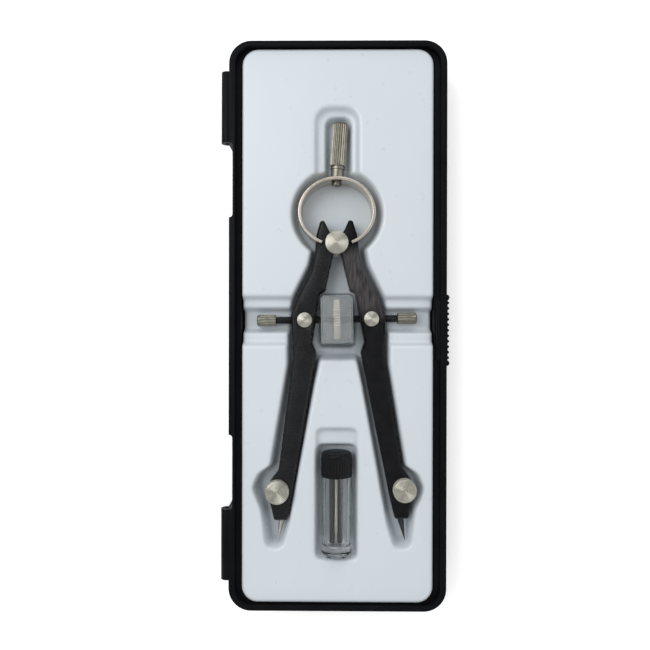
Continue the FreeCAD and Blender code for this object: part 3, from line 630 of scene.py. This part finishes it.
def make_legs():
    """Both legs, each with its trunnion and the retainer behind it."""
    half = SEAT
    for side, word in SIDES:
        # the right leg's paint is rubbed, and its lighter grey is partly a painted sheen
        paint = paint_black if side < 0 else paint_wear_and_sheen
        done(refined(word + "_leg", 0.16), word + "_leg", paint, "black_paint", word + "_leg")
        place = LEGS @ at(side * TRUNNION_OUT, -TRUNNION_DOWN, 0)
        body = word + "_trunnion"
        done(refined(body, 0.08), body, bright_steel, "bright_steel", body)
        done(lathe(word + "_button", domed(2.5, half - 0.4, half + 0.7, half + 1.42), 72, place),
             body, bright_steel, "bright_steel", body)
        back = [(0, -half - BACK_THICK), (2.1, -half - BACK_THICK, 0.2), (2.5, -half - 0.35, 0.2),
                (2.5, -half), (0, -half)]
        done(lathe(word + "_retainer_turned", back, 48, place), body, bright_steel, "bright_steel",
             word + "_trunnion_retainer")


def grooved(angle, radius, height):
    """Fine turned grooves on a thumb screw's face, and teeth round its rim."""
    if radius > 3.9 and 3.5 < height < 5.6:
        return -0.1 * (0.5 - 0.5 * math.cos(52 * angle))
    return 0


def make_thumb_screws():
    """The grooved thumb screws that clamp the points."""
    front, top = 3.25, 5.85
    face = [(3.35, top)]
    for radius in (3.0, 2.45, 1.9, 1.35):
        face += [(radius + 0.14, top), (radius, top - 0.11), (radius - 0.14, top)]
    face += [(0.8, top), (0.65, top - 0.28), (0, top - 0.34)]
    shape = [(0, -3.6), (1.2, -3.6, 0.15), (1.2, front), (3.8, front, 0.1), (3.95, front + 0.2),
             (3.95, top - 0.35, 0.15), (3.7, top - 0.05, 0.15)] + face
    for side, word in SIDES:
        place = LEGS @ at(side * SCREW_OUT, -SCREW_DOWN, 0)
        done(lathe(word + "_screw_turned", shape, 52 * 6, place, relief=grooved, fine=0.8, sharp=22),
             word + "_thumb_screw", bright_steel, "bright_steel", word + "_thumb_screw")


def make_points():
    """The needle and the sharpened lead."""
    for side, word, node, body, look, slot in (
            (-1, "needle_steel", "needle_point", "needle_point", bright_steel, "bright_steel"),
            (1, "lead_graphite", "lead", "lead", graphite, "graphite")):
        foot = Vector((side * FOOT_OUT, -FOOT_DOWN, 0))
        tip = Vector((side * TIP_OUT, -TIP_DOWN, 0))
        place = LEGS @ at(*tip) @ axis_to(*(tip - foot))
        taper = 7.0 if side < 0 else 6.5
        shape = [(0, -22), (1.0, -22, 0.1), (1.0, -taper, 1.0), (0.06, -0.02), (0, 0)]
        done(lathe(word, shape, 48, place), body, look, slot, node)


def make_spindle():
    """The threaded spindle with its wheel, end knobs and guard."""
    place = LEGS @ at(SPINDLE_SHIFT, -TRUNNION_DOWN, 0) @ ALONG_X
    for side, word in SIDES:
        way = place if side > 0 else place @ Matrix.Rotation(math.pi, 4, "Y")
        rod = thread(word + "_thread", 1.35, 0.34, 0.7, 1.1, 20.5, side, way)
        done(rod, "spindle", black_steel, "blackened_steel", word + "_screw_rod")
        spigot = lathe(word + "_spigot", [(0, 20.5), (0.9, 20.5), (0.9, 25.7), (0, 25.7)], 32, way)
        done(spigot, "spindle", black_steel, "blackened_steel", word + "_screw_rod")
        near, far = KNOB_NEAR, KNOB_FAR
        knob = [(0.96, near), (1.85, near, 0.05), (1.95, near + 0.1, 0.05), (1.95, far - 0.25, 0.1),
                (1.75, far, 0.1), (0.7, far), (0.45, far - 0.25), (0, far - 0.25), (0, far - 1.2),
                (0.96, far - 1.2)]
        teeth = 16
        body = "left_knob" if side < 0 else "spindle"
        done(lathe(word + "_knob_knurled", knob, teeth * 8, way, fine=1.2,
                   relief=knurl(teeth, 0.2, near + 0.12, far - 0.3, 1.9)),
             body, nickel, "nickel", word + "_end_knob")
    half = 1.1
    web = half - 0.25
    wheel = [(0.9, -half), (2.6, -half), (2.8, -web), (5.6, -web), (5.8, -half), (6.55, -half, 0.1),
             (6.8, -half + 0.3, 0.1), (6.8, half - 0.3, 0.1), (6.55, half, 0.1), (5.8, half), (5.6, web),
             (2.8, web), (2.6, half), (0.9, half)]
    teeth = 48
    done(lathe("wheel_knurled", wheel, teeth * 6, place, ring=True, relief=knurl(teeth, 0.3, -1, 1, 6.7)),
         "spindle", wheel_nickel, "wheel_nickel", "centre_wheel")
    done(refined("wheel_guard", 0.12, 2), "wheel_guard", frosted, "frosted_plastic", "wheel_guard")


# ---------------------------------------------------------------- the vial


def make_vial():
    """The vial with its cap and the spares in it."""
    low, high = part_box("vial_tube")
    long = (high.y - low.y) / MM
    cap_low, cap_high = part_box("vial_cap")
    cap_from, cap_to = (cap_low.y - low.y) / MM, (cap_high.y - low.y) / MM
    place = Matrix.Translation(Vector(((low.x + high.x) / 2, low.y, (low.z + high.z) / 2))) @ ALONG_Y
    shoulder = long - VIAL_NECK
    tube = [(0, 0.25), (3.2, 0.1, 0.8), (4.5, 0, 0.6), (5.1, 1.3, 1.2), (5.1, shoulder),
            (4.65, shoulder, 0.1), (4.65, long, 0.2), (4.3, long, 0.2), (3.7, 3.4, 1.1), (0, 3.2)]
    done(lathe("vial_moulded", tube, 96, place, fine=3.0), "vial", clear, "clear_plastic", "vial_tube")
    teeth = 40
    cap = [(5.12, cap_from, 0.05), (5.25, cap_from, 0.05), (5.25, cap_to - 0.6, 0.5), (4.6, cap_to, 0.4),
           (0, cap_to), (0, long + 0.1), (4.75, long + 0.1), (4.75, shoulder + 0.2), (5.12, shoulder + 0.2)]
    done(lathe("vial_cap_ribbed", cap, teeth * 6, place, fine=1.0,
               relief=knurl(teeth, 0.14, cap_from + 0.7, cap_to - 0.9, 5.2)),
         "vial_cap", cap_black, "cap_plastic", "vial_cap")
    lead_low, lead_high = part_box("spare_leads")
    reach = (lead_high.y - lead_low.y) / MM
    z = (lead_low.z + lead_high.z) / 2
    for i, x in enumerate((lead_low.x + MM, lead_high.x - MM)):
        where = Matrix.Translation(Vector((x, lead_low.y, z))) @ ALONG_Y
        shape = [(0, 0), (1.0, 0, 0.12), (1.0, reach, 0.12), (0, reach)]
        done(lathe("spare_lead_%d" % (i + 1), shape, 32, where, fine=2.0), "vial", graphite, "graphite",
             "spare_leads")
    low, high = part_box("spare_needle")
    where = Matrix.Translation(Vector(((low.x + high.x) / 2, low.y, (low.z + high.z) / 2))) @ ALONG_Y
    reach = (high.y - low.y) / MM
    shape = [(0, 0), (0.08, 0.1), (0.6, 5.0, 0.4), (0.6, reach, 0.1), (0, reach)]
    done(lathe("spare_needle_steel", shape, 32, where), "vial", bright_steel, "bright_steel",
         "spare_needle")


# ---------------------------------------------------------------- studio


def make_studio():
    """A pale floor, four soft lights and an even white sky."""
    floor = bpy.data.meshes.new("floor")
    floor.from_pydata([(-4, -4, 0), (4, -4, 0), (4, 4, 0), (-4, 4, 0)], [], [(0, 1, 2, 3)])
    obj = bpy.data.objects.new("floor", floor)
    bpy.context.scene.collection.objects.link(obj)
    obj.location.z = -0.0002
    obj.data.materials.append(grainy("floor_white", (0.93, 0.93, 0.93), (0.95, 0.95, 0.95), 0.6, patch=0.01,
                                     grain=0.5, bump=0.02, Emission_Color=(1, 1, 1, 1),
                                     Emission_Strength=0.25))
    for name, where, size, energy in (
            ("left", (-0.36, 0.19, 0.52), 0.50, 2.5),
            ("right", (1.15, -0.05, 0.72), 1.2, 4.0),
            ("far", (0.15, 1.25, 0.78), 1.0, 5.0),
            ("near", (-0.1, -1.25, 0.70), 1.0, 1.5)):
        light = bpy.data.lights.new(name, "AREA")
        light.size = size
        light.energy = energy
        lamp = bpy.data.objects.new(name, light)
        bpy.context.scene.collection.objects.link(lamp)
        lamp.location = where
        lamp.rotation_euler = Vector(where).to_track_quat("Z", "Y").to_euler()
    world = bpy.data.worlds.new("studio")
    world.use_nodes = True
    background = world.node_tree.nodes["Background"]
    background.inputs["Color"].default_value = (1, 1, 1, 1)
    background.inputs["Strength"].default_value = 0.58
    bpy.context.scene.world = world
    bpy.context.scene.view_settings.view_transform = "Standard"


def make_camera():
    """The photographer's place: straight above, close to the compass."""
    data = bpy.data.cameras.new("camera")
    data.sensor_width = 36.0
    data.lens = 36.0 * 566.0 / 650.0
    data.clip_start = 0.01
    obj = bpy.data.objects.new("camera", data)
    bpy.context.scene.collection.objects.link(obj)
    obj.location = Vector((-2.56, 0.97, 204.4)) * MM
    obj.rotation_euler = [math.radians(a) for a in (-0.17, 0.5, 0.1)]
    bpy.context.scene.camera = obj


done(refined("case_base", 0.3, 3), "case", case_black, "case_plastic", "case_base")
make_tray()
make_spring()
make_head()
make_legs()
make_thumb_screws()
make_points()
make_spindle()
make_vial()
make_studio()
make_camera()
